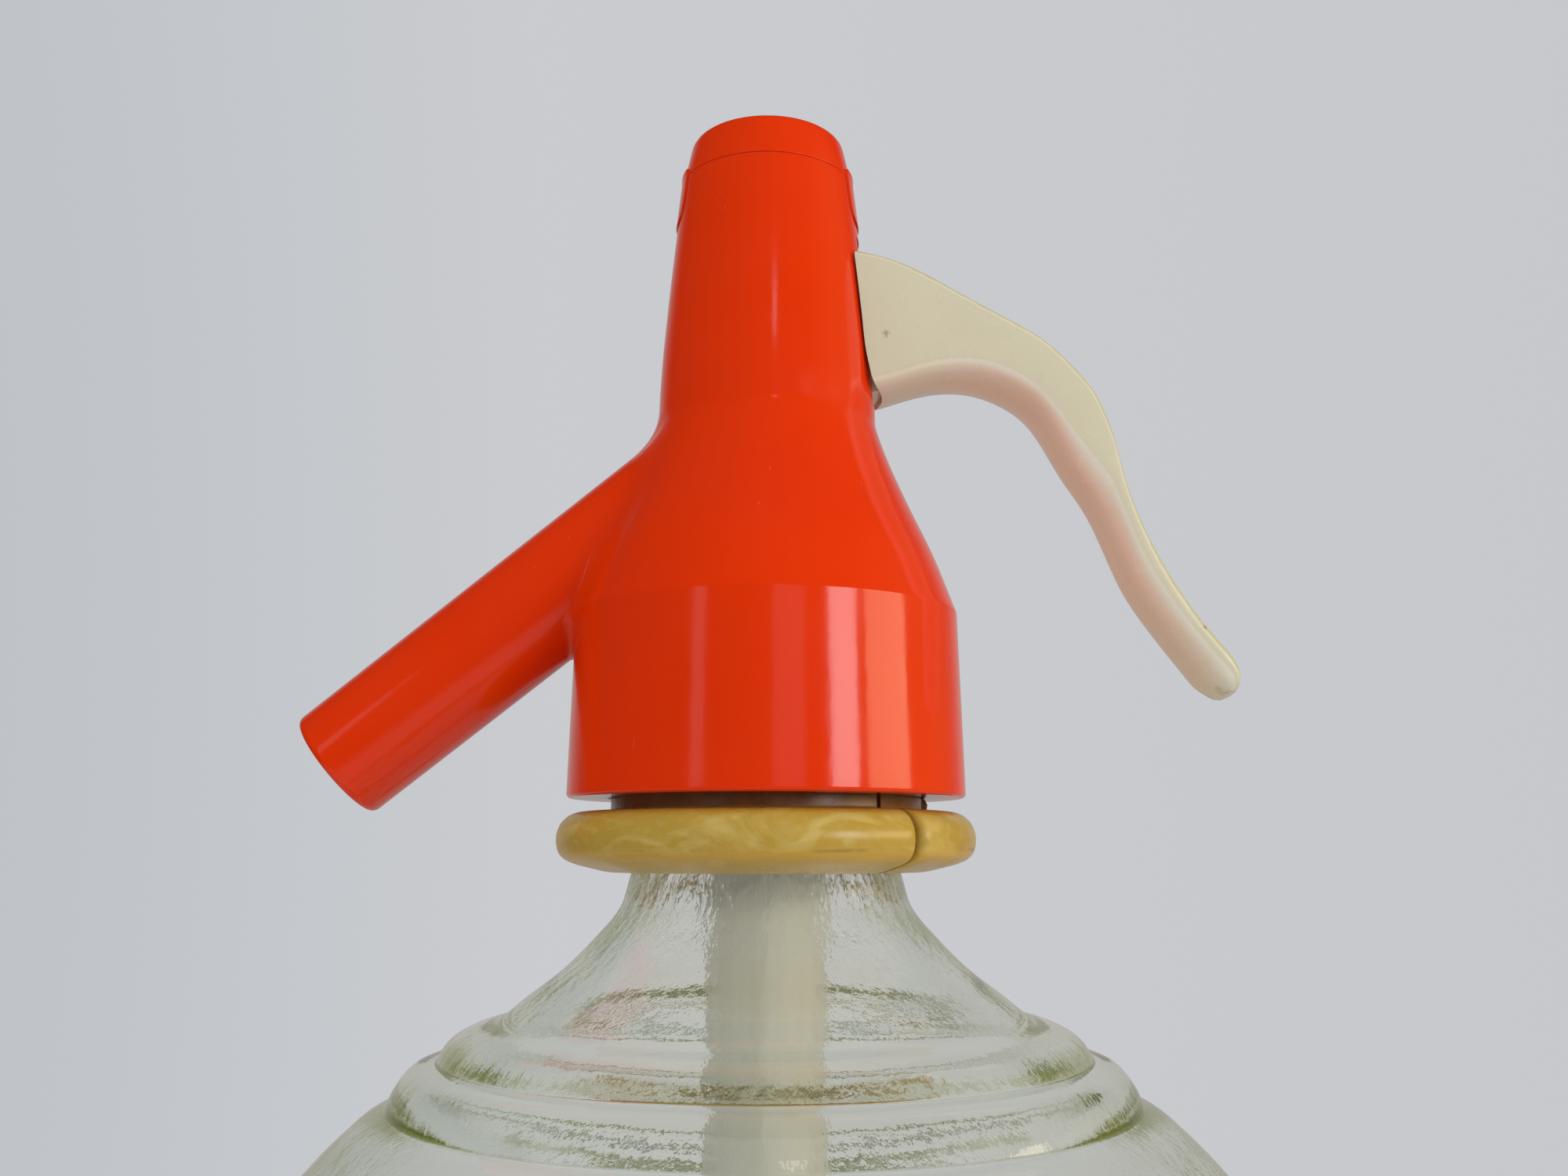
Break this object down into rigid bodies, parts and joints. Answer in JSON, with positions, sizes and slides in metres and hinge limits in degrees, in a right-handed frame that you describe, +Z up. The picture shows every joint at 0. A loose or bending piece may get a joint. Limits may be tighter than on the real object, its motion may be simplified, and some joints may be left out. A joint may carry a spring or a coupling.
{
  "type": "soda siphon",
  "caption": "Glass soda siphon with a rounded, ring-stepped shoulder and a screwed plastic head that has a down-turned spout and a long curved press lever.",
  "frame": {"origin": "centre of the bottle's base, in the plane of its foot ring", "axes": "+Z up along the bottle's axis, +X towards the lever, -X towards the spout"},
  "size_m": [0.115, 0.115, 0.2891],
  "materials": {
    "clear_glass": "clear moulded glass, slightly green where it is thick",
    "orange_plastic": "glossy orange-red moulded plastic, lightly scratched",
    "ivory_plastic": "satin ivory moulded plastic, worn and grimy at its upper edge",
    "ochre_plastic": "aged ochre plastic, mottled",
    "white_nylon": "plain off-white moulded nylon",
    "milky_tube": "milky translucent tube",
    "dark_rubber": "dark soft rubber",
    "brown_liner": "aged brown rubber with residue",
    "brass": "turned brass",
    "spring_steel": "plain spring steel"
  },
  "bodies": {
    "siphon": {"bottle": "clear_glass", "collar_half_front": "ochre_plastic", "collar_half_rear": "ochre_plastic", "collar_liner": "brown_liner", "lip_gasket": "dark_rubber", "tube_holder": "white_nylon", "tube_grip": "dark_rubber", "dip_tube": "milky_tube", "head_gasket": "dark_rubber", "valve_seat": "brass", "seat_o_ring": "dark_rubber", "head_body": "orange_plastic", "top_cap": "orange_plastic", "upper_spring_washer": "spring_steel"},
    "lever": {"lever": "ivory_plastic"},
    "spindle": {"valve_spindle": "white_nylon", "valve_disc": "dark_rubber", "disc_screw": "brass", "disc_spacer": "white_nylon", "seal_backing_ring": "brass", "spindle_cup_seal": "dark_rubber", "lower_spring_washer": "spring_steel", "valve_spring": "spring_steel"}
  },
  "joints": [
    {"name": "lever_press", "type": "hinge", "parent": "siphon", "child": "lever", "pos_m": [0.0108, 0, 0.2576], "axis": [0, 1, 0], "range_deg": [0, 12], "stiffness_Nm_per_rad": 0.05, "springref_deg": -14.32},
    {"name": "spindle_lift", "type": "slide", "parent": "siphon", "child": "spindle", "axis": [0, 0, 1], "range_m": [0, 0.00209], "deforming": ["valve_spring"]}
  ],
  "couplings": [
    {"joint": "lever_press", "follows": "spindle_lift", "rad_per_m": 100}
  ]
}
